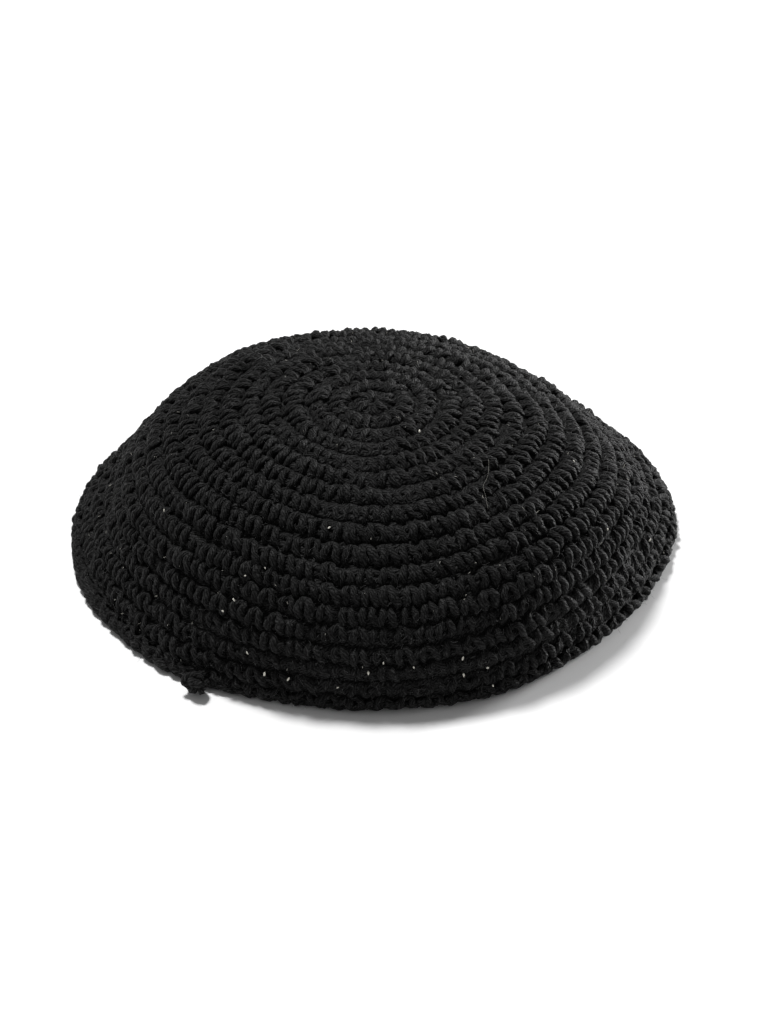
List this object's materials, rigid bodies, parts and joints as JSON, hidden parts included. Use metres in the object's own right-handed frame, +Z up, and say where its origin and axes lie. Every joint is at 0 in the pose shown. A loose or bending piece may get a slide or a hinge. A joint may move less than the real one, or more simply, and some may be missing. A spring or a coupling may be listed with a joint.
{
  "type": "kippah skullcap",
  "caption": "Hollow crocheted skullcap in black yarn, ridged round by round, with a flat closing edge that it rests on and a small fastened-off knot; worn on the crown of the head.",
  "frame": {"origin": "on the surface the cap stands on, under the middle of its footprint", "axes": "+Z up through the crown, -Y towards the steep front of the cap, +X to the right seen from the front"},
  "size_m": [0.1814, 0.177, 0.053],
  "materials": {
    "crown_yarn": "matte black twisted yarn, single crochet",
    "edge_yarn": "matte black twisted yarn, slip-stitch edge",
    "knot_yarn": "matte black twisted yarn, pulled tight"
  },
  "bodies": {
    "root": {"crown": "crown_yarn", "edge_round": "edge_yarn", "finishing_knot": "knot_yarn"}
  },
  "joints": []
}
